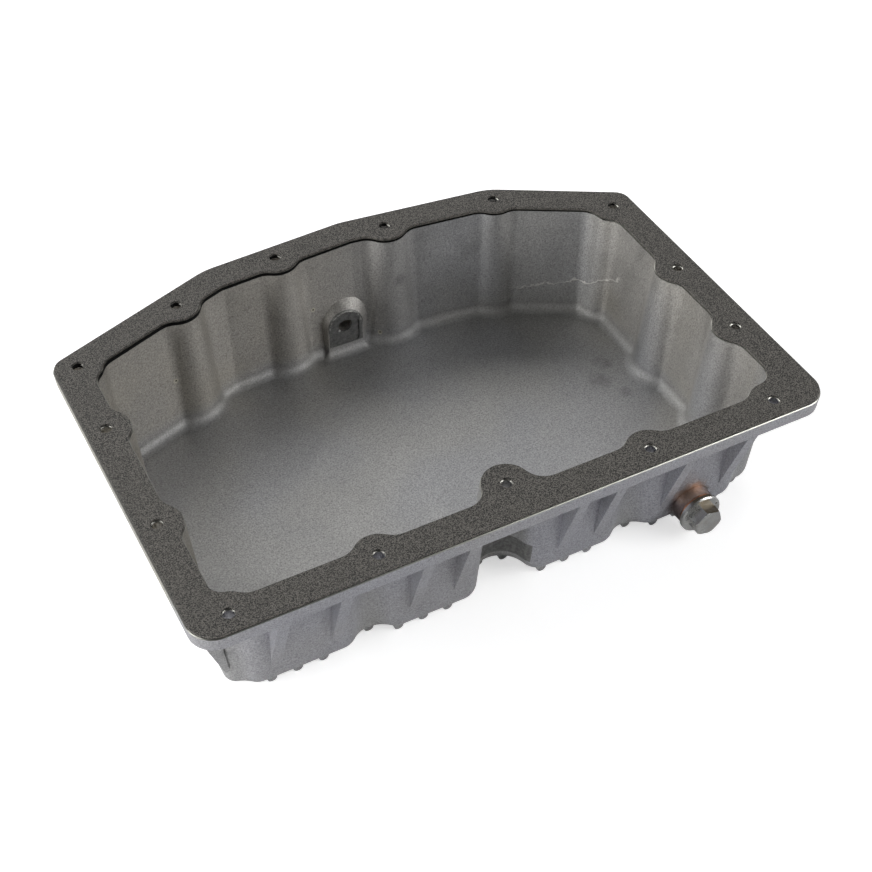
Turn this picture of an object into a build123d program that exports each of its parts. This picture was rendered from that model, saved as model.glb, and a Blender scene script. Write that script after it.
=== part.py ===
from build123d import *
import math
import os

# Deep cast aluminium oil pan: flange, fluted wall, ribbed floor, gasket, drain plug and level port.
# Frame: +Z up, origin on the ground under the middle of the flange, +Y towards the angled back
# edge, so that the long straight edge is the front. The pan stands on the ribs under its floor.
# All sizes are in millimetres.

# --- Flange, seen from above ---
flange_length = 400.0
flange_width = 285.0
flange_thickness = 9.5
right_shoulder_drop = 58.5  # from the back limit down to where the right edge ends
left_shoulder_drop = 48.3
right_bend_share = 0.595  # X of the bends, as shares of half the flange's length
right_bend_drop = 12.5
crown_share = 0.065
left_bend_share = -0.425
left_bend_drop = 5.8
front_corner_radius = 16.0
shoulder_radius = 11.0
bend_radius = 40.0
flange_chamfer = 0.5
chamfer_slope = 45.0
rim_width = 20.6  # from the flange's edge to the cavity, between the bolts

# --- Shell ---
cavity_depth = 81.5
floor_thickness = 4.2
wall_thickness = 5.0
draft_angle = 4.5
floor_fillet = 7.0
outer_fillet = 11.0
flute_blend = 13.0
corner_blend = 8.0  # at the front left corner, which is sharper than the rest

# --- Flange bolts (M6) ---
bolt_bore = 6.6
bolt_boss_radius = 15.0
bolt_chamfer = 0.5
seat_diameter = 15.0
seat_depth = 0.6
front_bolt_inset = 12.8
front_bolt_start = 22.9
front_bolt_end = 32.7  # from the last front bolt to the right edge
middle_bolt_inset = 27.0  # the middle front bolt stands further in than its neighbours

# --- Gussets that carry the flange on both sides of each bolt ---
gusset_width = 7.0
gusset_offset = 23.5
gusset_edge_margin = 2.0
gusset_foot_rise = 20.0  # foot of a gusset above the underside of the floor
gusset_rounding = 2.4
gusset_corner_gap = 20.0
front_left_gusset = 31.0  # the left edge's first gusset, from the front corner

# --- Ribs under the floor ---
rib_width = 6.0
rib_height = 4.0
rib_pitch = 16.0
rib_shift = -4.0  # middle rib, from the middle front bolt
rib_run_out = 5.2  # how far a rib runs on past the flat of the floor

# --- Flange gasket ---
gasket_thickness = 1.6
gasket_edge_margin = 0.8
gasket_cavity_margin = 0.6
gasket_bore = 7.6

# --- Drain plug, M18, midway between the last two front bolts ---
drain_after_bolt = 3.5
drain_height = 16.8
drain_thread = 18.0
thread_clearance = 0.05
drain_boss_diameter = 25.0
drain_boss_rise = 7.8  # boss face, from the wall at the height of the plug
drain_boss_taper = 3.0
drain_shank_length = 16.0
drain_shank_chamfer = 1.0
drain_flange_diameter = 27.5
drain_flange_thickness = 3.0
drain_flange_chamfer = 0.8
drain_hex_size = 17.0
drain_hex_height = 8.0
drain_hex_turn = -15.0
punch_mark_diameter = 1.6
punch_mark_depth = 0.4
punch_mark_radius = 11.5
punch_mark_angle = 28.0
drain_hex_chamfer = 0.8
washer_diameter = 24.0
washer_thickness = 1.8
washer_clearance = 0.25

# --- Level port in the back wall ---
port_x = 0.95
port_rise = 22.5  # port axis above the floor
port_bore = 10.0
port_arch_drop = 1.4  # centre of the arch, below the port axis
port_boss_radius = 13.0
port_root_radius = 20.5  # where the boss's rounded shoulder meets the back of the wall
port_root_shift = 3.0
port_boss_reach = 6.5  # boss face, from the wall at the height of the port
pocket_width = 20.0
pocket_height = 19.5
pocket_depth = 0.8
pocket_corner_radius = 3.0
port_pad_diameter = 20.0
port_pad_rise = 2.0
port_plug_length = 9.0
port_socket_size = 4.8
port_socket_depth = 4.5

# --- Heights worked out from the sizes above ---
floor_under_z = rib_height
floor_top_z = floor_under_z + floor_thickness
flange_top_z = floor_top_z + cavity_depth
flange_under_z = flange_top_z - flange_thickness
shell_height = flange_top_z - floor_under_z
half_length = flange_length / 2
half_width = flange_width / 2
match_slack = 0.01  # how nearly a measured place or radius has to agree

# --- Flange corners, counter-clockwise from the front left, and the edges between them ---
corners = [
    (-half_length, -half_width),
    (half_length, -half_width),
    (half_length, half_width - right_shoulder_drop),
    (half_length * right_bend_share, half_width - right_bend_drop),
    (half_length * crown_share, half_width),
    (half_length * left_bend_share, half_width - left_bend_drop),
    (-half_length, half_width - left_shoulder_drop),
]
FRONT, RIGHT, RIGHT_SLOPE, BACK_RIGHT, BACK_LEFT, LEFT_SLOPE, LEFT = range(7)


def edge_direction(edge):
    """The direction of one flange edge, seen from above."""
    start = Vector(*corners[edge])
    end = Vector(*corners[(edge + 1) % len(corners)])
    return (end - start).normalized()


def edge_length(edge):
    """The length of one flange edge, from corner to corner."""
    start = Vector(*corners[edge])
    end = Vector(*corners[(edge + 1) % len(corners)])
    return (end - start).length


def rim_point(edge, along, inset):
    """A point on the flange, by its distance along an edge and inwards from it."""
    direction = edge_direction(edge)
    inward = direction.rotate(Axis.Z, 90)
    return Vector(*corners[edge]) + direction * along + inward * inset


def front_bolt_along(index):
    """How far a front bolt stands along the front edge."""
    pitch = (flange_length - front_bolt_start - front_bolt_end) / (len(front_insets) - 1)
    return front_bolt_start + index * pitch


def edge_y_at(edge, x):
    """The Y of one flange edge at an X."""
    start = Vector(*corners[edge])
    direction = edge_direction(edge)
    return start.Y + (x - start.X) / direction.X * direction.Y


def wall_drift(height):
    """How far the drafted walls have moved inwards at a height."""
    return (flange_top_z - height) * math.tan(math.radians(draft_angle))


front_insets = [front_bolt_inset] * 2 + [middle_bolt_inset] + [front_bolt_inset] * 2
middle_bolt = len(front_insets) // 2
front_bolts = [(FRONT, front_bolt_along(i), inset) for i, inset in enumerate(front_insets)]
# Every other bolt, as its edge, its share of the way along that edge and its distance inwards.
side_places = [
    (RIGHT, 0.342, 14.0),
    (RIGHT, 0.625, 13.5),
    (RIGHT, 0.957, 14.8),
    (BACK_RIGHT, 0.003, 12.1),
    (BACK_RIGHT, 0.739, 13.7),
    (BACK_LEFT, 0.534, 11.4),
    (LEFT_SLOPE, 0.279, 13.2),
    (LEFT_SLOPE, 0.908, 12.5),
    (LEFT, 0.28, 12.3),
    (LEFT, 0.63, 12.2),
]
side_bolts = [(edge, share * edge_length(edge), inset) for edge, share, inset in side_places]
bolt_points = [rim_point(*bolt) for bolt in front_bolts + side_bolts]
middle_x = bolt_points[middle_bolt].X
drain_x = rim_point(FRONT, front_bolt_along(drain_after_bolt), 0).X

# --- Outlines, seen from above ---
with BuildSketch() as flange_outline:
    with BuildLine():
        Polyline(*corners, close=True)
    make_face()
    bends = flange_outline.vertices().filter_by(lambda v: abs(v.X) < half_length - match_slack)
    fillet(bends, radius=bend_radius)
    front_pair = flange_outline.vertices().group_by(Axis.Y)[0]
    fillet(front_pair, radius=front_corner_radius)
    ends = flange_outline.vertices().filter_by(lambda v: abs(v.X) > half_length - match_slack)
    fillet(ends.filter_by(lambda v: v.Y > half_width / 2), radius=shoulder_radius)

with BuildSketch() as cavity_outline:
    with BuildLine():
        Polyline(*corners, close=True)
    make_face()
    offset(amount=-rim_width, kind=Kind.INTERSECTION)
    with Locations(*bolt_points):
        Circle(bolt_boss_radius, mode=Mode.SUBTRACT)
    left_turns = cavity_outline.vertices().group_by(Axis.X)[0]
    corner_turn = left_turns.sort_by(Axis.Y)[0]
    fillet(cavity_outline.vertices().sort_by_distance(corner_turn)[1:], radius=flute_blend)
    fillet(cavity_outline.vertices().sort_by_distance(corner_turn)[0], radius=corner_blend)

with BuildSketch() as shell_outline:
    add(cavity_outline.sketch)
    offset(amount=wall_thickness)

# --- Level port boss: a tapered arch on the inside of the back wall, with a rounded foot ---
port_z = floor_top_z + port_rise
arch_z = port_z - port_arch_drop
port_wall_y = edge_y_at(BACK_LEFT, port_x) - rim_width - wall_drift(port_z)
port_face_y = port_wall_y - port_boss_reach
with BuildSketch() as foot_section:
    with BuildLine():
        CenterArc((port_face_y - floor_fillet, floor_top_z + floor_fillet), floor_fillet, 270, 90)
        Polyline(
            (port_face_y, floor_top_z + floor_fillet),
            (port_face_y, floor_top_z),
            (port_face_y - floor_fillet, floor_top_z),
        )
    make_face()

with BuildPart() as port_boss:
    with BuildSketch(Plane.XZ.offset(-port_face_y)):
        with Locations((port_x, arch_z)):
            Circle(port_boss_radius)
            Rectangle(2 * port_boss_radius, arch_z, align=(Align.CENTER, Align.MAX))
    with BuildSketch(Plane.XZ.offset(-(port_wall_y + wall_thickness))):
        with Locations((port_x + port_root_shift, arch_z)):
            Circle(port_root_radius)
            Rectangle(2 * port_root_radius, arch_z, align=(Align.CENTER, Align.MAX))
    loft()
    with BuildSketch(Plane.YZ.offset(port_x - port_boss_radius)):
        add(foot_section.sketch)
    extrude(amount=2 * port_boss_radius)
    for side in (-1, 1):
        end_x = port_x + side * port_boss_radius
        with BuildSketch(Plane.YZ.offset(end_x)):
            add(foot_section.sketch)
        revolve(axis=Axis((end_x, port_face_y, 0), (0, 0, side)), revolution_arc=90)

# --- Cavity: the drafted inside with a rounded floor edge ---
with BuildPart() as cavity:
    with BuildSketch(Plane.XY.offset(flange_top_z)):
        add(cavity_outline.sketch)
    extrude(amount=-cavity_depth, taper=draft_angle)
    fillet(cavity.faces().sort_by(Axis.Z)[0].edges(), radius=floor_fillet)
    add(port_boss.part, mode=Mode.SUBTRACT)

# --- Shell body: the drafted outside with a rounded bottom edge ---
with BuildPart() as shell_body:
    with BuildSketch(Plane.XY.offset(flange_top_z)):
        add(shell_outline.sketch)
    extrude(amount=-shell_height, taper=draft_angle)
    footprint = shell_body.faces().sort_by(Axis.Z)[0]
    fillet(footprint.edges(), radius=outer_fillet)
ground_footprint = shell_body.faces().sort_by(Axis.Z)[0]

# --- One gusset: a web that tapers from the flange's edge down to the foot of the wall ---
# It is drawn at the origin: Y is zero on the outer wall at the flange's top, and outwards is -Y.
gusset_reach = rim_width - wall_thickness - gusset_edge_margin
gusset_foot_z = floor_under_z + gusset_foot_rise
with BuildPart() as gusset:
    with BuildSketch(Plane.YZ):
        with BuildLine():
            Polyline(
                (-gusset_reach, flange_under_z),
                (wall_drift(gusset_foot_z), gusset_foot_z),
                (wall_drift(gusset_foot_z) + wall_thickness / 2, gusset_foot_z),
                (wall_thickness / 2, flange_under_z),
                close=True,
            )
        make_face()
    extrude(amount=gusset_width / 2, both=True)
    crest = gusset.faces().sort_by(Axis.Y)[0]
    fillet(crest.edges().filter_by(Axis.X, reverse=True), radius=gusset_rounding)

front_gussets = [
    (0, 25.8),  # the front bolt it belongs to, and its distance along from that bolt
    (1, -23.5),
    (1, 25.5),
    (2, -32.1),
    (2, 37.5),
    (3, -23.5),
    (3, 23.5),
    (4, -19.5),
]
gusset_marks = [(FRONT, front_bolt_along(bolt) + offset) for bolt, offset in front_gussets]
gusset_marks += [(LEFT, edge_length(LEFT) - front_left_gusset)]
for edge, along, inset in side_bolts:
    gusset_marks += [(edge, along - gusset_offset), (edge, along + gusset_offset)]
gusset_places = []
for edge, along in gusset_marks:
    if gusset_corner_gap < along < edge_length(edge) - gusset_corner_gap:
        spot = rim_point(edge, along, rim_width - wall_thickness)
        turn = math.degrees(math.atan2(edge_direction(edge).Y, edge_direction(edge).X))
        gusset_places.append(Location((spot.X, spot.Y, 0), (0, 0, turn)))

# --- Ribs: round-bottomed bars from front to back, each ending just up the rounded bottom edge ---
middle_rib_x = middle_x + rib_shift
ribs_to_left = int((middle_rib_x - ground_footprint.bounding_box().min.X) / rib_pitch)
ribs_to_right = int((ground_footprint.bounding_box().max.X - middle_rib_x) / rib_pitch)
with BuildPart() as ribs:
    for i in range(-ribs_to_left, ribs_to_right + 1):
        rib_x = middle_rib_x + i * rib_pitch
        sight_line = Line(
            (rib_x, -half_width, floor_under_z),
            (rib_x, half_width, floor_under_z),
            mode=Mode.PRIVATE,
        )
        run = Compound(children=ground_footprint.intersect(sight_line)).bounding_box()
        with BuildSketch(Plane.XZ.offset(-run.max.Y - rib_run_out)):
            with Locations((rib_x, rib_width / 2)):
                Circle(rib_width / 2)
                Rectangle(rib_width, rib_height, align=(Align.CENTER, Align.MIN))
        extrude(amount=run.size.Y + 2 * rib_run_out)

# --- The casting: flange, shell, gussets, ribs and bosses in one piece ---
drain_wall_y = -half_width + rim_width - wall_thickness + wall_drift(drain_height)
drain_face_y = drain_wall_y - drain_boss_rise
port_pad_y = port_wall_y + wall_thickness + port_pad_rise
port_cut_length = port_pad_y - port_face_y
flange_chamfer_z = flange_top_z - flange_chamfer
with BuildPart() as pan_casting:
    with BuildSketch(Plane.XY.offset(flange_chamfer_z)):
        add(flange_outline.sketch)
    extrude(amount=flange_chamfer, taper=chamfer_slope)
    with BuildSketch(Plane.XY.offset(flange_chamfer_z)):
        add(flange_outline.sketch)
    extrude(amount=-(flange_thickness - flange_chamfer), taper=draft_angle)
    add(shell_body.part)
    with Locations(*gusset_places):
        add(gusset.part)
    add(ribs.part)
    with BuildSketch(Plane.XZ.offset(-drain_face_y)):
        with Locations((drain_x, drain_height)):
            Circle(drain_boss_diameter / 2)
    extrude(amount=-(drain_boss_rise + outer_fillet), taper=-drain_boss_taper)
    with BuildSketch(Plane.XZ.offset(-port_pad_y)):
        with Locations((port_x, port_z)):
            Circle(port_pad_diameter / 2)
    extrude(amount=port_pad_rise + wall_thickness / 2)
    add(cavity.part, mode=Mode.SUBTRACT)
    with BuildSketch(Plane.XZ.offset(-port_face_y)):
        with Locations((port_x, floor_top_z + floor_fillet + pocket_height / 2)):
            RectangleRounded(pocket_width, pocket_height, pocket_corner_radius)
    extrude(amount=-pocket_depth, mode=Mode.SUBTRACT)
    with BuildSketch(Plane.XZ.offset(-port_pad_y)):
        with Locations((port_x, port_z)):
            Circle(port_bore / 2)
    extrude(amount=port_cut_length, mode=Mode.SUBTRACT)
    with BuildSketch(Plane.XZ.offset(-drain_face_y)):
        with Locations((drain_x, drain_height)):
            Circle(drain_thread / 2)
    extrude(amount=-(drain_boss_rise + 2 * wall_thickness), mode=Mode.SUBTRACT)
    with BuildSketch(Plane.XY.offset(flange_top_z)):
        with Locations(*bolt_points):
            Circle(bolt_bore / 2)
    extrude(amount=-flange_thickness, mode=Mode.SUBTRACT)
    with BuildSketch(Plane.XY.offset(flange_under_z)):
        with Locations(*bolt_points):
            Circle(seat_diameter / 2)
    extrude(amount=seat_depth, mode=Mode.SUBTRACT)
    top_circles = pan_casting.faces().sort_by(Axis.Z)[-1].edges().filter_by(GeomType.CIRCLE)
    bore_edges = top_circles.filter_by(lambda e: abs(e.radius - bolt_bore / 2) < match_slack)
    chamfer(bore_edges, length=bolt_chamfer)

# --- Flange gasket ---
with BuildPart() as flange_gasket:
    with BuildSketch(Plane.XY.offset(flange_top_z)):
        add(flange_outline.sketch)
        offset(amount=-gasket_edge_margin)
        with BuildSketch(mode=Mode.SUBTRACT):
            add(cavity_outline.sketch)
            offset(amount=gasket_cavity_margin)
        with Locations(*bolt_points):
            Circle(gasket_bore / 2, mode=Mode.SUBTRACT)
    extrude(amount=gasket_thickness)

# --- Drain plug with its sealing washer ---
with BuildPart() as drain_washer:
    with BuildSketch(Plane.XZ.offset(-drain_face_y)):
        with Locations((drain_x, drain_height)):
            Circle(washer_diameter / 2)
            Circle(drain_thread / 2 + washer_clearance, mode=Mode.SUBTRACT)
    extrude(amount=washer_thickness)

plug_seat_y = drain_face_y - washer_thickness
hex_base_y = plug_seat_y - drain_flange_thickness
with BuildPart() as hex_head:
    with BuildSketch(Plane.XZ.offset(-hex_base_y)):
        with Locations((drain_x, drain_height)):
            Circle(drain_hex_size / math.sqrt(3))
    extrude(amount=drain_hex_height)
    chamfer(hex_head.faces().sort_by(Axis.Y)[0].edges(), length=drain_hex_chamfer)
    with BuildSketch(Plane.XZ.offset(-hex_base_y)):
        with Locations((drain_x, drain_height)):
            RegularPolygon(drain_hex_size / 2, 6, major_radius=False, rotation=drain_hex_turn)
    extrude(amount=drain_hex_height, mode=Mode.INTERSECT)

punch_angle = math.radians(punch_mark_angle)
punch_spot = (
    drain_x + punch_mark_radius * math.cos(punch_angle),
    drain_height + punch_mark_radius * math.sin(punch_angle),
)
with BuildPart() as drain_plug:
    with BuildSketch(Plane.XZ.offset(-plug_seat_y)):
        with Locations((drain_x, drain_height)):
            Circle(drain_thread / 2 - thread_clearance)
    extrude(amount=-drain_shank_length)
    chamfer(drain_plug.faces().sort_by(Axis.Y)[-1].edges(), length=drain_shank_chamfer)
    with BuildSketch(Plane.XZ.offset(-plug_seat_y)):
        with Locations((drain_x, drain_height)):
            Circle(drain_flange_diameter / 2)
    extrude(amount=drain_flange_thickness)
    chamfer(drain_plug.faces().sort_by(Axis.Y)[0].edges(), length=drain_flange_chamfer)
    with BuildSketch(Plane.XZ.offset(-hex_base_y)):
        with Locations(punch_spot):
            Circle(punch_mark_diameter / 2)
    extrude(amount=-punch_mark_depth, mode=Mode.SUBTRACT)
    add(hex_head.part)

# --- Level port plug, screwed in from outside ---
with BuildPart() as port_plug:
    with BuildSketch(Plane.XZ.offset(-port_pad_y)):
        with Locations((port_x, port_z)):
            Circle(port_bore / 2 - thread_clearance)
    extrude(amount=-port_plug_length)
    with BuildSketch(Plane.XZ.offset(-port_pad_y)):
        with Locations((port_x, port_z)):
            RegularPolygon(port_socket_size / 2, 6, major_radius=False)
    extrude(amount=-port_socket_depth, mode=Mode.SUBTRACT)

pieces = {
    "pan_casting": pan_casting,
    "flange_gasket": flange_gasket,
    "drain_plug": drain_plug,
    "drain_washer": drain_washer,
    "port_plug": port_plug,
}
os.makedirs("parts", exist_ok=True)
for name, piece in pieces.items():
    piece.part.label = name
    export_step(piece.part, f"parts/{name}.step")
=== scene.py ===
import math

import bmesh
import bpy
from mathutils import Matrix, Vector


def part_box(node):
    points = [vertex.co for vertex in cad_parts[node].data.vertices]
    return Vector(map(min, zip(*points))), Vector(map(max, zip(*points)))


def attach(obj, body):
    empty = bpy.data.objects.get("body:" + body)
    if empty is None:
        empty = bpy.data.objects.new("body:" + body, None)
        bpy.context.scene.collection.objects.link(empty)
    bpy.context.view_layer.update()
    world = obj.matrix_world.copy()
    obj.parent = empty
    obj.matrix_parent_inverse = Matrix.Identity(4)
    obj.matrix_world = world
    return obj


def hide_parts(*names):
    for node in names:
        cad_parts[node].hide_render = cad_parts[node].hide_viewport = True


# Deep cast aluminium oil pan: looks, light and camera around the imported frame. All lengths are in metres.

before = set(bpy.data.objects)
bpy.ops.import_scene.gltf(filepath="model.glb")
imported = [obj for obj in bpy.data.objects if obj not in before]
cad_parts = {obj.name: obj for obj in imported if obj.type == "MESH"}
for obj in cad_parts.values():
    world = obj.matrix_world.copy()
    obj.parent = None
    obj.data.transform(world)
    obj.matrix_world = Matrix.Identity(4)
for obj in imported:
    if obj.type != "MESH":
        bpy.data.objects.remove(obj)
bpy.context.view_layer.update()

MM = 0.001
GASKET_LOW, GASKET_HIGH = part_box("flange_gasket")
PLUG_LOW, PLUG_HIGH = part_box("drain_plug")
WASHER_LOW, WASHER_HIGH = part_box("drain_washer")
PORT_LOW, PORT_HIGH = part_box("port_plug")
FLANGE_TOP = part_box("pan_casting")[1].z
GASKET_TOP = GASKET_HIGH.z
# Middle of the milled face of the level port, on the inside of the back wall.
PORT_FACE_Y = 110.04 * MM
PORT_FACE = Vector(((PORT_LOW.x + PORT_HIGH.x) / 2, PORT_FACE_Y, (PORT_LOW.z + PORT_HIGH.z) / 2))
# The drain plug's axis, where it meets the face of its boss.
DRAIN_AXIS = Vector(((PLUG_LOW.x + PLUG_HIGH.x) / 2, WASHER_HIGH.y, (PLUG_LOW.z + PLUG_HIGH.z) / 2))


def mm(*values):
    return tuple(value * MM for value in values)


def grey(level):
    return (level, level, level, 1.0)


# --- Small helpers for node materials ---
class Nodes:
    """One node tree, with short calls to add nodes and join them."""

    def __init__(self, owner):
        self.tree = owner.node_tree
        self.tree.nodes.clear()

    def add(self, kind, inputs=None, **settings):
        node = self.tree.nodes.new(kind)
        for key, value in settings.items():
            setattr(node, key, value)
        for key, value in (inputs or {}).items():
            self.put(node.inputs[key], value)
        return node

    def put(self, socket, value):
        """Joins an output to the socket, or sets the socket's own value."""
        if isinstance(value, bpy.types.NodeSocket):
            self.tree.links.new(value, socket)
        else:
            socket.default_value = value

    def object_coords(self):
        return self.add("ShaderNodeTexCoord").outputs["Object"]

    def split(self, vector):
        """The X, Y and Z outputs of a vector."""
        return self.add("ShaderNodeSeparateXYZ", {0: vector}).outputs

    def math(self, operation, a, b=0.0, clamp=False):
        node = self.add("ShaderNodeMath", {0: a, 1: b}, operation=operation)
        node.use_clamp = clamp
        return node.outputs[0]

    def product(self, first, *others):
        for other in others:
            first = self.math("MULTIPLY", first, other)
        return first

    def away_from(self, value, place):
        """How far a coordinate is from a place, either way."""
        return self.math("ABSOLUTE", self.math("SUBTRACT", value, place))

    def remap(self, value, low, high, to_low=0.0, to_high=1.0, smooth=False):
        node = self.add("ShaderNodeMapRange", {"Value": value, "From Min": low, "From Max": high})
        node.inputs["To Min"].default_value = to_low
        node.inputs["To Max"].default_value = to_high
        node.interpolation_type = "SMOOTHSTEP" if smooth else "LINEAR"
        return node.outputs[0]

    def mix(self, factor, a, b, blend="MIX"):
        node = self.add("ShaderNodeMix", data_type="RGBA", blend_type=blend)
        self.put(node.inputs["Factor"], factor)
        self.put(node.inputs["A"], a)
        self.put(node.inputs["B"], b)
        return node.outputs["Result"]

    def tint(self, colour, by, factor=1.0):
        """The colour multiplied by another one, as far as the factor says."""
        return self.mix(factor, colour, self.mix(1.0, colour, by, "MULTIPLY"))

    def noise(self, vector, size, detail=2.0, roughness=0.5):
        """Noise whose features are about size across."""
        node = self.add("ShaderNodeTexNoise", {"Vector": vector, "Scale": 1.0 / size, "Detail": detail})
        node.inputs["Roughness"].default_value = roughness
        return node.outputs["Fac"]

    def flecks(self, vector, size, reach):
        """Scattered round flecks: one at most in each cell of the given size, 1 at its middle."""
        node = self.add("ShaderNodeTexVoronoi", {"Vector": vector, "Scale": 1.0 / size})
        return self.remap(node.outputs["Distance"], 0.0, reach, 1.0, 0.0, smooth=True)

    def distance(self, position, point):
        node = self.add("ShaderNodeVectorMath", {0: position, 1: tuple(point)}, operation="DISTANCE")
        return node.outputs["Value"]

    def spots(self, coords, places):
        """1 on each spot, falling to 0 over its soft edge: place, radius and edge, in millimetres."""
        most = 0.0
        for place, radius, edge in places:
            away = self.distance(coords, mm(*place))
            spot = self.remap(away, radius * MM, (radius + edge) * MM, 1.0, 0.0, smooth=True)
            most = self.math("MAXIMUM", most, spot)
        return most

    def bump(self, height, depth, strength):
        node = self.add("ShaderNodeBump", {"Height": height, "Distance": depth, "Strength": strength})
        return node.outputs["Normal"]

    def finish(self, colour, roughness, normal, metallic=1.0):
        """Closes the material with one principled shader."""
        looks = {"Base Color": colour, "Roughness": roughness, "Normal": normal}
        shader = self.add("ShaderNodeBsdfPrincipled", looks)
        shader.inputs["Metallic"].default_value = metallic
        self.surface(shader)

    def surface(self, shader, output_kind="ShaderNodeOutputMaterial"):
        output = self.add(output_kind)
        self.tree.links.new(shader.outputs[0], output.inputs["Surface"])


def new_material(name):
    material = bpy.data.materials.new(name)
    material.use_nodes = True
    return material, Nodes(material)


def give(node_name, material):
    """Puts one material on a whole CAD node."""
    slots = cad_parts[node_name].data.materials
    slots.clear()
    slots.append(material)


# --- Cast aluminium ---
CAST_WARM = (0.420, 0.417, 0.408, 1.0)
CAST_COOL = (0.405, 0.407, 0.415, 1.0)
CAST_BLUE = (0.985, 0.985, 1.04, 1.0)
CLOUD_DARK = grey(0.32)
CLOUD_PALE = grey(0.52)
CLOUD_SHARE = 0.14
OIL_FILM = (1.06, 1.015, 0.93, 1.0)
FILLET_SHADE = (0.20, 0.195, 0.18, 1.0)
LIP_SHADE = grey(0.012)
SMUDGE = grey(0.15)
PORE = grey(0.10)
PIT_HOLE = grey(0.05)
PIT_RIM = (0.70, 0.67, 0.56, 1.0)
FLOW_LINE = (0.75, 0.74, 0.70, 1.0)
# The drain stain is partly real and partly painted light: darker brown painted shade below, a coppery
# painted sheen and painted glints on the top.
STAIN_BROWN_AND_SHADE = (0.075, 0.047, 0.038, 1.0)
STAIN_COPPER_AND_SHEEN = (0.45, 0.31, 0.225, 1.0)
STAIN_GLINT = (0.90, 0.80, 0.71, 1.0)
MACHINED = (0.37, 0.366, 0.335, 1.0)
MACHINED_DULL = grey(0.13)
MACHINED_SCRATCHED = (0.27, 0.27, 0.26, 1.0)
RIM_SHADE = (0.09, 0.088, 0.082, 1.0)
BARE_EDGE = (0.72, 0.71, 0.66, 1.0)
PAINTED_GLINT = (0.88, 0.87, 0.82, 1.0)
MACHINED_ROUGHNESS = grey(0.36)
FILLET_ROUGHNESS = grey(0.66)
STAIN_ROUGHNESS = grey(0.40)

# Stretches over which a mark sets in, from where there is none to where it is full.
FRONT_OUTSIDE_Y = mm(-112, -120)
BEHIND_FRONT_WALL_Y = mm(-108, -96)
WALL_Z = mm(9, 24)
OIL_LEFT_X = mm(90, -30)
OIL_RIGHT_X = mm(166, 174)
FILLET_SHADE_FOOT_Z = mm(8.3, 9.2)
FILLET_SHADE_TOP_Z = mm(18, 12)
LIP_ABOVE_EDGE = mm(-0.2, 0.2)
LIP_BACK_Y = mm(60, 66)
LIP_FACING_Y = (-0.30, -0.50)
FLOW_LINE_HALF_WIDTH = mm(0.6, 0.15)
FLOW_LINE_NEAR_Y = mm(44, 48)
FLOW_LINE_FAR_Y = mm(98, 94)
FLOW_LINE_X = mm(118, 126)
STAIN_OUTSIDE_Y = mm(-118.5, -120.5)
STAIN_SHEEN_RISE = mm(5, 13)  # above the drain plug's axis
MACHINED_DEPTH = mm(0.62, 0.55)
RIM_DEPTH = mm(0.06, 0.03)
RIM_WIDTH = 0.1 * MM
MACHINED_SHADE_X = mm(-120, 10)

# Place, radius and soft edge of each smudge, and the place of each pit, in millimetres.
SMUDGES = [
    ((150, 19, 8.2), 2.0, 9.0),
    ((139, 5, 8.2), 3.0, 8.0),
    ((148, -13, 8.2), 1.0, 6.0),
    ((41.4, 108.2, 56.4), 1.0, 6.0),
    ((-177, -116, 41), 1.0, 5.0),
    ((-72, 104, 60), 0.6, 4.0),
]
PITS = [(-124.4, 96.1, 45.1), (26.1, 109.4, 15.5), (-19.3, 116.6, 47.5)]

# The lip's shade reaches this far below the flange's top, at the left and at the right end.
LIP_SPAN_X = mm(-190, 170)
LIP_SHADE_DEPTH = mm(2.6, 0.9)

# The flow line runs on the right wall from the back to the front. Its height is given at both ends
# of the back stretch, and how much further it rises over the front stretch.
FLOW_LINE_BACK_Y = mm(96, 70)
FLOW_LINE_BACK_HEIGHT = mm(27.5, 35.5)
FLOW_LINE_FRONT_Y = mm(70, 46)
FLOW_LINE_FRONT_RISE = mm(0, 15)
FLOW_LINE_SWAY = mm(-2.6, 2.6)

# The drain stain is full up to the first distance from its middle and gone at the second.
STAIN_MIDDLE = (DRAIN_AXIS.x - 1.5 * MM, 0, DRAIN_AXIS.z + 1.5 * MM)
STAIN_REACH = mm(11.5, 18.5)
STAIN_RAGGED = mm(-3.5, 3.5)
STAIN_STRENGTH = 0.85

# The level port's milled face is an arch on two legs. Its bright edge line is bare metal, and the bright
# spot at the hole's rim is a painted glint.
PORT_ARCH_RADIUS = mm(12.9, 12.6)
PORT_LEG_HALF_WIDTH = mm(12.5, 12.2)
PORT_LEG_FOOT_Z = mm(14.5, 15.5)
PORT_FACE_DEPTH = mm(1.5, 1.3)
PORT_EDGE_RADIUS = 11.6 * MM
PORT_EDGE_HALF_WIDTH = mm(0.5, 0.1)
PORT_GLINT = Vector(mm(-4.2, 0.4, -3.4))
PORT_GLINT_RADIUS = mm(1.1, 0.7)


def cast_skin(n, coords, x, y, z):
    """The colour without grain or marks, and the clouds in it.

    Slow drifts between a warm and a cool grey, bluer on the front. A warm oil tint lies on the walls, on
    the outside of the back and side walls too."""
    drift = n.noise(coords, 90 * MM, 2.0)
    colour = n.mix(n.remap(drift, 0.40, 0.62, smooth=True), CAST_WARM, CAST_COOL)
    cloud = n.noise(coords, 22 * MM, 4.0, 0.6)
    colour = n.mix(CLOUD_SHARE, colour, n.mix(n.remap(cloud, 0.3, 0.7), CLOUD_DARK, CLOUD_PALE))
    colour = n.tint(colour, CAST_BLUE, n.remap(y, *FRONT_OUTSIDE_Y, smooth=True))
    inside = n.product(n.remap(z, *WALL_Z, smooth=True), n.remap(y, *BEHIND_FRONT_WALL_Y))
    leftward = n.remap(x, *OIL_LEFT_X, smooth=True)
    rightmost = n.remap(x, *OIL_RIGHT_X, 0.0, 0.8)
    warm_share = n.product(inside, n.math("MAXIMUM", leftward, rightmost))
    return n.tint(colour, OIL_FILM, warm_share), cloud


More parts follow.
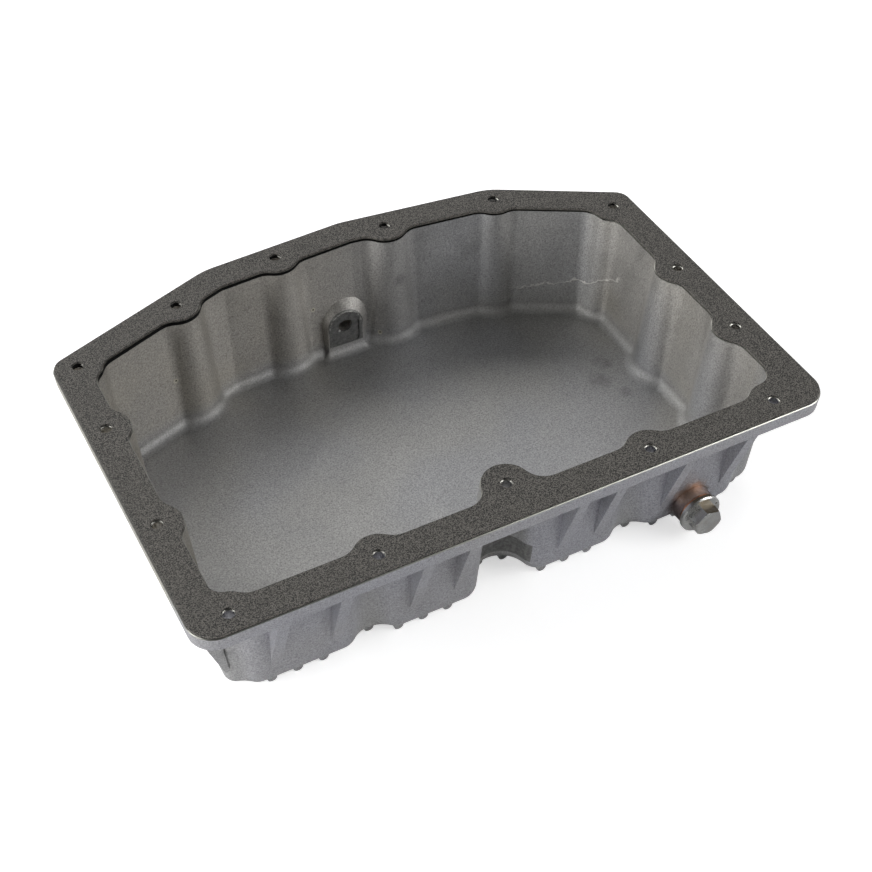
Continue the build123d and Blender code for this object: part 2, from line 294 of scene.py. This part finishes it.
def floor_corner(n, y, z):
    """The rounded corner between the wall and the floor, darkened there as painted shade.

    It takes in the outside of the back and side walls at the same height."""
    above_floor = n.remap(z, *FILLET_SHADE_FOOT_Z)
    below_wall = n.remap(z, *FILLET_SHADE_TOP_Z, smooth=True)
    return n.product(above_floor, below_wall, n.remap(y, *BEHIND_FRONT_WALL_Y))


def gasket_lip(n, x, y, z):
    """The strip of the back wall right under the gasket, in the lip's shade."""
    facing = n.split(n.add("ShaderNodeNewGeometry").outputs["Normal"])["Y"]
    left_depth, right_depth = LIP_SHADE_DEPTH
    lower_edge = n.remap(x, *LIP_SPAN_X, FLANGE_TOP - left_depth, FLANGE_TOP - right_depth)
    above = n.remap(n.math("SUBTRACT", z, lower_edge), *LIP_ABOVE_EDGE)
    return n.product(above, n.remap(facing, *LIP_FACING_Y), n.remap(y, *LIP_BACK_Y))


def flow_line(n, coords, x, y, z):
    """A thin wandering line, left where the metal met in the mould, on the right wall's both sides."""
    sway = n.remap(n.noise(coords, 9 * MM, 3.0, 0.6), 0.3, 0.7, *FLOW_LINE_SWAY)
    back_height = n.remap(y, *FLOW_LINE_BACK_Y, *FLOW_LINE_BACK_HEIGHT)
    front_rise = n.remap(y, *FLOW_LINE_FRONT_Y, *FLOW_LINE_FRONT_RISE)
    height = n.math("ADD", n.math("ADD", back_height, front_rise), sway)
    line = n.remap(n.away_from(z, height), *FLOW_LINE_HALF_WIDTH)
    stretch = n.product(n.remap(y, *FLOW_LINE_NEAR_Y), n.remap(y, *FLOW_LINE_FAR_Y))
    return n.product(line, stretch, n.remap(x, *FLOW_LINE_X))


def drain_stain(n, coords, y, z):
    """Brown stain on the drain boss, fading into the wall above it: where, and its colour. Towards the top
    it turns to a coppery painted sheen with painted glints, and lower down to darker brown painted shade.
    """
    across = n.add("ShaderNodeVectorMath", {0: coords, 1: (1, 0, 1)}, operation="MULTIPLY")
    away = n.distance(across.outputs[0], STAIN_MIDDLE)
    ragged = n.noise(coords, 6 * MM, 3.0, 0.55)
    reach = n.math("ADD", away, n.remap(ragged, 0.3, 0.7, *STAIN_RAGGED))
    stained = n.remap(reach, *STAIN_REACH, STAIN_STRENGTH, 0.0, smooth=True)
    stained = n.product(stained, n.remap(y, *STAIN_OUTSIDE_Y))
    # Painted light: the stain is paler and coppery towards the top as painted sheen, darker brown below as
    # painted shade.
    rise = n.remap(n.math("SUBTRACT", z, DRAIN_AXIS.z), *STAIN_SHEEN_RISE)
    high = n.math("ADD", rise, n.remap(ragged, 0.3, 0.7, -0.5, 0.3), clamp=True)
    stain = n.mix(high, STAIN_BROWN_AND_SHADE, STAIN_COPPER_AND_SHEEN)
    glints = n.product(n.flecks(coords, 4.0 * MM, 0.17), n.remap(high, 0.0, 0.6))
    return stained, n.mix(glints, stain, STAIN_GLINT)


def flange_rim(n, x, y, z):
    """The dark outermost strip of the flange's machined top, round the gasket."""
    side = n.remap(n.math("ABSOLUTE", x), GASKET_HIGH.x - RIM_WIDTH, GASKET_HIGH.x)
    front = n.remap(y, GASKET_LOW.y + RIM_WIDTH, GASKET_LOW.y)
    top = n.remap(n.math("SUBTRACT", FLANGE_TOP, z), *RIM_DEPTH)
    return n.product(n.math("MAXIMUM", side, front), top)


def port_face(n, coords, x, y, z):
    """The milled face of the level port.

    It is bounded towards the back wall only, so the legs also mark the front wall in line with it."""
    arch = n.remap(n.distance(coords, PORT_FACE), *PORT_ARCH_RADIUS)
    legs = n.remap(n.away_from(x, PORT_FACE.x), *PORT_LEG_HALF_WIDTH)
    below = n.remap(z, PORT_FACE.z + 1 * MM, PORT_FACE.z)
    legs = n.product(legs, below, n.remap(z, *PORT_LEG_FOOT_Z))
    level = n.remap(n.math("SUBTRACT", y, PORT_FACE.y), *PORT_FACE_DEPTH)
    return n.product(n.math("MAXIMUM", arch, legs), level)


def port_edge(n, coords, z, marks):
    """The bright line that the cutter left along the arch of the port's face."""
    off = n.away_from(n.distance(coords, PORT_FACE), PORT_EDGE_RADIUS)
    line = n.remap(off, *PORT_EDGE_HALF_WIDTH)
    upper = n.remap(z, PORT_FACE.z - 1 * MM, PORT_FACE.z + 1 * MM)
    return n.product(line, upper, n.remap(marks, 0.45, 0.55))


def cast_aluminium():
    """The casting, with its blasted grain, its marks and its machined faces."""
    material, n = new_material("cast_aluminium")
    coords = n.object_coords()
    x, y, z = n.split(coords)
    colour, cloud = cast_skin(n, coords, x, y, z)
    grain = n.noise(coords, 1.0 * MM, 2.0, 0.7)
    colour = n.mix(1.0, colour, n.remap(grain, 0.25, 0.75, 0.60, 1.40), "MULTIPLY")
    corner = floor_corner(n, y, z)
    # Painted shade: the rounded corner between the wall and the floor is darkened.
    colour = n.mix(n.product(corner, 0.35), colour, FILLET_SHADE)
    # Dark smudges, small open pores and a few pits with a pale rim.
    ragged = n.noise(coords, 7 * MM, 3.0, 0.6)
    smudges = n.product(n.spots(coords, SMUDGES), n.remap(ragged, 0.35, 0.65, 0.10, 0.50))
    colour = n.mix(smudges, colour, SMUDGE)
    pores = n.product(n.flecks(coords, 9 * MM, 0.085), 0.5)
    colour = n.mix(pores, colour, PORE)
    rims = n.spots(coords, [(place, 1.5, 0.6) for place in PITS])
    colour = n.mix(n.product(rims, 0.6), colour, PIT_RIM)
    holes = n.spots(coords, [(place, 0.4, 0.5) for place in PITS])
    colour = n.mix(n.product(holes, 0.9), colour, PIT_HOLE)
    flow = flow_line(n, coords, x, y, z)
    colour = n.mix(n.product(flow, 0.75), colour, FLOW_LINE)
    stained, stain = drain_stain(n, coords, y, z)
    colour = n.mix(stained, colour, stain)
    # The machined top face with its chamfer is brighter and smoother than the cast skin,
    # and the milled face of the level port is dull and scratched.
    machined = n.remap(n.math("SUBTRACT", FLANGE_TOP, z), *MACHINED_DEPTH)
    # Painted shade: the machined top and its chamfer are darker towards the left, in place of the gasket
    # edge's shadow.
    machined_shade = n.remap(x, *MACHINED_SHADE_X, 0.55, 1.0)
    colour = n.mix(machined, colour, n.mix(1.0, MACHINED, machined_shade, "MULTIPLY"))
    colour = n.mix(flange_rim(n, x, y, z), colour, RIM_SHADE)
    port = port_face(n, coords, x, y, z)
    marks = n.noise(coords, 2.4 * MM, 5.0, 0.8)
    milled = n.mix(n.remap(marks, 0.35, 0.65), MACHINED_DULL, MACHINED_SCRATCHED)
    colour = n.mix(port, colour, milled)
    edge = n.product(port_edge(n, coords, z, marks), port, 0.7)
    colour = n.mix(edge, colour, BARE_EDGE)
    # Painted highlight: a bright glint at the lower left of the port's hole.
    port_glint = n.remap(n.distance(coords, PORT_FACE + PORT_GLINT), *PORT_GLINT_RADIUS)
    colour = n.mix(port_glint, colour, PAINTED_GLINT)
    colour = n.mix(gasket_lip(n, x, y, z), colour, LIP_SHADE)
    roughness = n.remap(cloud, 0.3, 0.7, 0.53, 0.63)
    roughness = n.mix(machined, roughness, MACHINED_ROUGHNESS)
    roughness = n.mix(corner, roughness, FILLET_ROUGHNESS)
    roughness = n.mix(stained, roughness, STAIN_ROUGHNESS)
    pits = n.noise(coords, 3.2 * MM, 5.0, 0.7)
    height = n.math("ADD", n.product(grain, 0.6), n.product(pits, 0.4))
    height = n.math("SUBTRACT", height, n.math("ADD", pores, n.product(holes, 2.0)))
    height = n.math("ADD", height, n.product(flow, 0.8))
    n.finish(colour, roughness, n.bump(height, 0.35 * MM, 0.6))
    return material


# --- Gasket, plugs and washer ---
FIBRE_DARK = grey(0.001)
FIBRE_PALE = (0.152, 0.142, 0.127, 1.0)
FIBRE_DUSTY = (0.080, 0.075, 0.066, 1.0)
FIBRE_SPECK = (0.255, 0.245, 0.220, 1.0)
PLATING_DULL = (0.40, 0.40, 0.395, 1.0)
PLATING_CLEAN = (0.50, 0.50, 0.49, 1.0)
PLATING_TARNISH = (0.27, 0.215, 0.155, 1.0)
PAINTED_REFLECTION_BROWN = (0.135, 0.110, 0.075, 1.0)
PAINTED_REFLECTION_ROUGHNESS = grey(0.48)
PAINTED_REFLECTION_FACING_Z = (0.80, 0.90)
COPPER_DARK = (0.24, 0.10, 0.06, 1.0)
COPPER_CLEAN = (0.58, 0.30, 0.19, 1.0)
OILY_STEEL = (0.05, 0.05, 0.055, 1.0)
PLAIN_STEEL = grey(0.14)


def gasket_fibre():
    """Fine light and dark grain, with a few paler specks."""
    material, n = new_material("gasket_fibre")
    coords = n.object_coords()
    grain = n.noise(coords, 0.68 * MM, 1.5, 0.6)
    colour = n.mix(n.remap(grain, 0.40, 0.62), FIBRE_DARK, FIBRE_PALE)
    drift = n.noise(coords, 45 * MM, 2.0)
    colour = n.mix(n.remap(drift, 0.4, 0.6, 0.0, 0.12), colour, FIBRE_DUSTY)
    chosen = n.remap(n.noise(coords, 2.3 * MM, 1.0), 0.50, 0.60)
    specks = n.product(n.flecks(coords, 1.3 * MM, 0.34), chosen)
    colour = n.mix(n.product(specks, 0.75), colour, FIBRE_SPECK)
    roughness = n.remap(grain, 0.3, 0.7, 0.66, 0.84)
    height = n.math("ADD", grain, n.product(specks, 0.5))
    n.finish(colour, roughness, n.bump(height, 0.30 * MM, 0.7), metallic=0.0)
    return material


def plated_steel():
    """Dull plating, tarnished in places."""
    material, n = new_material("plated_steel")
    coords = n.object_coords()
    cloud = n.noise(coords, 6 * MM, 4.0, 0.6)
    colour = n.mix(n.remap(cloud, 0.35, 0.65), PLATING_DULL, PLATING_CLEAN)
    tarnish = n.noise(coords, 11 * MM, 5.0, 0.7)
    colour = n.mix(n.remap(tarnish, 0.52, 0.70, 0.0, 0.35), colour, PLATING_TARNISH)
    # A brown painted reflection lies on the flat that faces up at rest.
    facing = n.split(n.add("ShaderNodeTexCoord").outputs["Normal"])["Z"]
    warm_share = n.product(n.remap(facing, *PAINTED_REFLECTION_FACING_Z), n.remap(tarnish, 0.35, 0.55, 0.7, 0.95))
    colour = n.mix(warm_share, colour, PAINTED_REFLECTION_BROWN)
    roughness = n.mix(warm_share, n.remap(cloud, 0.3, 0.7, 0.20, 0.30), PAINTED_REFLECTION_ROUGHNESS)
    grain = n.noise(coords, 0.7 * MM, 3.0, 0.7)
    n.finish(colour, roughness, n.bump(grain, 0.12 * MM, 0.6))
    return material


def clouded_metal(name, size, dark, pale, roughness, depth):
    """Bare metal that clouds of the given size turn from dark to pale."""
    material, n = new_material(name)
    cloud = n.noise(n.object_coords(), size, 4.0, 0.6)
    colour = n.mix(n.remap(cloud, 0.35, 0.65), dark, pale)
    n.finish(colour, n.remap(cloud, 0.3, 0.7, *roughness), n.bump(cloud, depth, 0.5))
    return material


CAST = cast_aluminium()
PLATED = plated_steel()
give("pan_casting", CAST)
give("flange_gasket", gasket_fibre())
give("drain_plug", PLATED)
copper = clouded_metal("copper", 4 * MM, COPPER_DARK, COPPER_CLEAN, (0.34, 0.52), 0.15 * MM)
give("drain_washer", copper)
port_steel = clouded_metal("port_steel", 2 * MM, OILY_STEEL, PLAIN_STEEL, (0.34, 0.50), 0.10 * MM)
give("port_plug", port_steel)


# --- Threads of the drain plug and of its hole, M18 x 1.5 right hand ---
THREAD_PITCH = 1.5 * MM
SHANK_RADIUS = 8.95 * MM
SHANK_ROOT = 8.10 * MM
SHANK_TIP_CHAMFER = 1.0 * MM
SHANK_COLLAR = 0.2 * MM  # plain stretch right under the head
SHANK_UNDERCUT = 1.4 * MM  # where the groove behind the collar ends and the thread begins
SHANK_SUNK = 0.3 * MM  # how far the shank starts inside the head
COLLAR_RISE = 0.02 * MM  # how far the collar stands out past the thread
SEAT_TOLERANCE = 0.02 * MM
BORE_RADIUS = 8.99 * MM
BORE_CREST = 8.25 * MM
BORE_SKIN = 9.30 * MM
BORE_LEAD_IN = 0.5 * MM
BORE_SHORT_OF_TIP = 3.0 * MM
THREAD_SEGMENTS = 64
MERGE_DISTANCE = 1e-7
SHARP_ANGLE = math.radians(25)
SEAT_Y = WASHER_LOW.y
SHANK_LENGTH = PLUG_HIGH.y - SEAT_Y
BORE_START = WASHER_HIGH.y - SEAT_Y + BORE_LEAD_IN
BORE_END = SHANK_LENGTH - BORE_SHORT_OF_TIP
# Share of the pitch and radius, once round each thread.
SHANK_PROFILE = [
    (0.0, SHANK_ROOT),
    (0.25, SHANK_ROOT),
    (0.5625, SHANK_RADIUS),
    (0.6875, SHANK_RADIUS),
]
BORE_PROFILE = [
    (0.0, BORE_CREST),
    (0.25, BORE_CREST),
    (0.525, BORE_RADIUS),
    (0.725, BORE_RADIUS),
]


def shank_radius(along, radius):
    """The thread's radius, changed for the collar, the undercut and the tip's chamfer."""
    if along < SHANK_COLLAR:
        return SHANK_RADIUS + COLLAR_RISE
    if along < SHANK_UNDERCUT:
        return SHANK_ROOT
    into_chamfer = along - (SHANK_LENGTH - SHANK_TIP_CHAMFER)
    return min(radius, SHANK_RADIUS - max(0.0, into_chamfer))


def bore_radius(along, radius):
    """The thread's radius, opened at both ends of the bore by a 45 degree chamfer."""
    from_end = min(along - BORE_START, BORE_END - along)
    return max(radius, BORE_RADIUS - max(0.0, from_end))


def helix(start, end, profile, radius_at):
    """bmesh of a threaded surface about the plug's axis, between two distances from the plug's seat.

    Each row of points winds once round the axis, and the next turn's row goes on from its end."""
    steps = len(profile)
    first_turn = int(start / THREAD_PITCH - 2)
    last_turn = int(end / THREAD_PITCH + 3)
    rows = []
    for k in range(first_turn * steps, last_turn * steps):
        turn, step = divmod(k, steps)
        share, radius = profile[step]
        row = []
        for i in range(THREAD_SEGMENTS):
            angle = 2 * math.pi * i / THREAD_SEGMENTS
            along = (turn + share - i / THREAD_SEGMENTS) * THREAD_PITCH
            along = min(max(along, start), end)
            r = radius_at(along, radius)
            x = DRAIN_AXIS.x + r * math.cos(angle)
            z = DRAIN_AXIS.z + r * math.sin(angle)
            row.append((x, SEAT_Y + along, z))
        rows.append(row)
    work = bmesh.new()
    grid = [[work.verts.new(point) for point in row] for row in rows]
    for k in range(steps, len(grid) - 1):
        for i in range(THREAD_SEGMENTS):
            if i + 1 < THREAD_SEGMENTS:
                corners = (grid[k][i], grid[k + 1][i], grid[k + 1][i + 1], grid[k][i + 1])
            else:
                corners = (grid[k][i], grid[k + 1][i], grid[k + 1 - steps][0], grid[k - steps][0])
            work.faces.new(corners)
    bmesh.ops.remove_doubles(work, verts=work.verts, dist=MERGE_DISTANCE)
    bmesh.ops.dissolve_degenerate(work, edges=work.edges, dist=MERGE_DISTANCE)
    loose = [v for v in work.verts if not v.link_faces]
    bmesh.ops.delete(work, geom=loose, context="VERTS")
    return work


def open_edges(work):
    return [edge for edge in work.edges if edge.is_boundary]


def finished_piece(name, work, material, body):
    """Makes a smooth piece from the bmesh, on its body and with its finish."""
    mesh = bpy.data.meshes.new(name)
    work.to_mesh(mesh)
    work.free()
    mesh.polygons.foreach_set("use_smooth", [True] * len(mesh.polygons))
    mesh.set_sharp_from_angle(angle=SHARP_ANGLE)
    mesh.materials.append(material)
    piece = bpy.data.objects.new(name, mesh)
    bpy.context.scene.collection.objects.link(piece)
    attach(piece, body)
    return piece


def threaded_plug():
    """The plug's own head, with a cut thread in place of its plain shank."""
    shank = helix(-SHANK_SUNK, SHANK_LENGTH, SHANK_PROFILE, shank_radius)
    bmesh.ops.holes_fill(shank, edges=open_edges(shank), sides=0)
    bmesh.ops.recalc_face_normals(shank, faces=shank.faces)
    shank_mesh = bpy.data.meshes.new("shank")
    shank.to_mesh(shank_mesh)
    shank.free()
    head = bmesh.new()
    head.from_mesh(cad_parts["drain_plug"].data)
    beyond = [f for f in head.faces if f.calc_center_median().y > SEAT_Y + SEAT_TOLERANCE]
    bmesh.ops.delete(head, geom=beyond, context="FACES")
    head.from_mesh(shank_mesh)
    piece = finished_piece("threaded_plug", head, PLATED, "plug")
    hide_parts("drain_plug")


def threaded_bore():
    """The thread inside the drain hole, closed behind by a skin that lies in the metal."""
    work = helix(BORE_START, BORE_END, BORE_PROFILE, bore_radius)
    ring = bmesh.ops.extrude_edge_only(work, edges=open_edges(work))["geom"]
    for vert in (v for v in ring if isinstance(v, bmesh.types.BMVert)):
        out = Vector((vert.co.x - DRAIN_AXIS.x, 0, vert.co.z - DRAIN_AXIS.z))
        out = out.normalized() * BORE_SKIN
        vert.co = Vector((DRAIN_AXIS.x + out.x, vert.co.y, DRAIN_AXIS.z + out.z))
    bmesh.ops.bridge_loops(work, edges=open_edges(work))
    bmesh.ops.recalc_face_normals(work, faces=work.faces)
    finished_piece("bore_thread", work, CAST, "pan")


threaded_plug()
threaded_bore()


# --- Floor and world: white to the camera, pale to everything else ---
FLOOR_SIZE = 8.0
FLOOR_COLOUR = grey(0.80)
GLOW_DISTANCE = (0.5, 1.6)  # from where the floor's glow grows with the distance to where it is full
GLOW_STRENGTH = (0.55, 1.0)
SKY_LOW = grey(0.09)
SKY_HIGH = grey(0.12)
SKY_RISE = (-0.2, 0.9)
WHITE = grey(1.0)


def pale_floor():
    material, n = new_material("pale_floor")
    plain = n.add("ShaderNodeBsdfDiffuse", {"Color": FLOOR_COLOUR})
    to_camera = n.add("ShaderNodeLightPath").outputs["Is Camera Ray"]
    away = n.distance(n.object_coords(), (0, 0, 0))
    strength = n.product(to_camera, n.remap(away, *GLOW_DISTANCE, *GLOW_STRENGTH))
    glow = n.add("ShaderNodeEmission", {"Color": WHITE, "Strength": strength})
    n.surface(n.add("ShaderNodeAddShader", {0: plain.outputs[0], 1: glow.outputs[0]}))
    return material


def studio_world():
    world = bpy.data.worlds.new("studio")
    world.use_nodes = True
    n = Nodes(world)
    direction = n.add("ShaderNodeTexCoord").outputs["Generated"]
    rise = n.remap(n.split(direction)["Z"], *SKY_RISE, smooth=True)
    sky = n.mix(rise, SKY_LOW, SKY_HIGH)
    to_camera = n.add("ShaderNodeLightPath").outputs["Is Camera Ray"]
    background = n.add("ShaderNodeBackground", {"Color": n.mix(to_camera, sky, WHITE)})
    background.inputs["Strength"].default_value = 1.0
    n.surface(background, "ShaderNodeOutputWorld")
    return world


bpy.ops.mesh.primitive_plane_add(size=FLOOR_SIZE, location=(0, 0, 0))
floor = bpy.context.object
floor.name = "floor"
floor.data.materials.append(pale_floor())
bpy.context.scene.world = studio_world()

# --- Lamps ---
# Name, place, height of the point on the Z axis that it is aimed at, size and power.
LAMPS = [
    ("back", (0.9, 1.7, 1.5), 0.03, (2.0, 1.6), 15.8),
    ("back_left", (-1.0, 1.6, 1.1), 0.03, (1.2, 1.2), 24.5),
    ("left", (-1.9, 0.1, 0.75), 0.05, (1.2, 0.9), 22.5),
    ("left_low", (-1.9, -0.7, 0.3), 0.04, (1.2, 0.5), 20.0),
    ("right_front", (1.4, -1.2, 0.8), 0.03, (1.2, 1.0), 25.0),
]


def softbox(name, place, aim, size, power):
    data = bpy.data.lights.new(name, "AREA")
    data.shape = "RECTANGLE"
    data.size, data.size_y = size
    data.energy = power
    lamp = bpy.data.objects.new(name, data)
    lamp.location = place
    lamp.rotation_euler = (Vector(aim) - Vector(place)).to_track_quat("-Z", "Y").to_euler()
    bpy.context.scene.collection.objects.link(lamp)


for name, place, aim_height, size, power in LAMPS:
    softbox(name, place, (0, 0, aim_height), size, power)

# --- Camera ---
CAMERA_PLACE = Vector((-0.3200135, -0.6238381, GASKET_TOP + 0.6300066))
CAMERA_LENS = 64.48
CAMERA_SENSOR = 36.0
CAMERA_PITCH = math.radians(44.8695)
CAMERA_YAW = math.radians(28.0151)
CAMERA_ROLL = math.radians(-0.3479)


def camera_matrix():
    """The camera's place and its yaw from +Y, pitch below the horizon and roll."""
    forward = Vector((
        math.sin(CAMERA_YAW) * math.cos(CAMERA_PITCH),
        math.cos(CAMERA_YAW) * math.cos(CAMERA_PITCH),
        -math.sin(CAMERA_PITCH),
    ))
    right = Vector((math.cos(CAMERA_YAW), -math.sin(CAMERA_YAW), 0))
    down = forward.cross(right)
    rolled_right = math.cos(CAMERA_ROLL) * right + math.sin(CAMERA_ROLL) * down
    rolled_down = -math.sin(CAMERA_ROLL) * right + math.cos(CAMERA_ROLL) * down
    matrix = Matrix((rolled_right, -rolled_down, -forward)).transposed().to_4x4()
    matrix.translation = CAMERA_PLACE
    return matrix


camera_data = bpy.data.cameras.new("camera")
camera_data.lens = CAMERA_LENS
camera_data.sensor_width = CAMERA_SENSOR
camera = bpy.data.objects.new("camera", camera_data)
camera.matrix_world = camera_matrix()
bpy.context.scene.collection.objects.link(camera)
bpy.context.scene.camera = camera

bpy.context.scene.view_settings.view_transform = "Standard"
